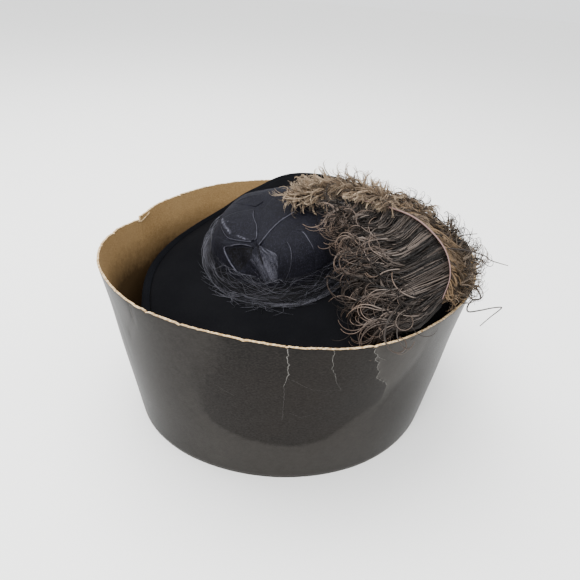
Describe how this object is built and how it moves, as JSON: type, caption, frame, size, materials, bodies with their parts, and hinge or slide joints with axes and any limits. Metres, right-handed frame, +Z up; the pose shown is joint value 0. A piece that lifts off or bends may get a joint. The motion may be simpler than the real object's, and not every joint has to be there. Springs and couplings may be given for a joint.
{
  "type": "wide-brimmed felt hat with ostrich plume in an open paper hat box",
  "caption": "Dark wide-brimmed felt hat with draped velvet crown, strand wreath and curled ostrich plume, lying in an open oval tapered paper hat box.",
  "frame": {"origin": "middle of the underside of the hat box", "axes": "+Z up, +X to the viewer's right, +Y away from the viewer"},
  "size_m": [0.448, 0.423, 0.2983],
  "materials": {
    "box_paper": "matte",
    "box_board": "matte",
    "hat_felt": "matte",
    "roll_felt": "matte",
    "velvet": "satin",
    "strands": "satin",
    "plume_dark": "matte",
    "plume_shaft": "satin",
    "plume_light": "matte"
  },
  "bodies": {
    "root": {"box_wall": "box_paper", "box_bottom": "box_board", "hat_body": "hat_felt", "brim_roll": "roll_felt", "velvet_leaf_front": "velvet", "velvet_leaf_front_right": "velvet", "velvet_leaf_left": "velvet", "velvet_leaf_upper_left": "velvet", "velvet_leaf_top": "velvet", "velvet_leaf_right": "velvet", "velvet_leaf_back_left": "velvet", "velvet_leaf_back": "velvet", "crown_wreath": "strands", "plume_barbs": "plume_dark", "plume_shaft": "plume_shaft", "plume_head": "plume_light"}
  },
  "joints": []
}
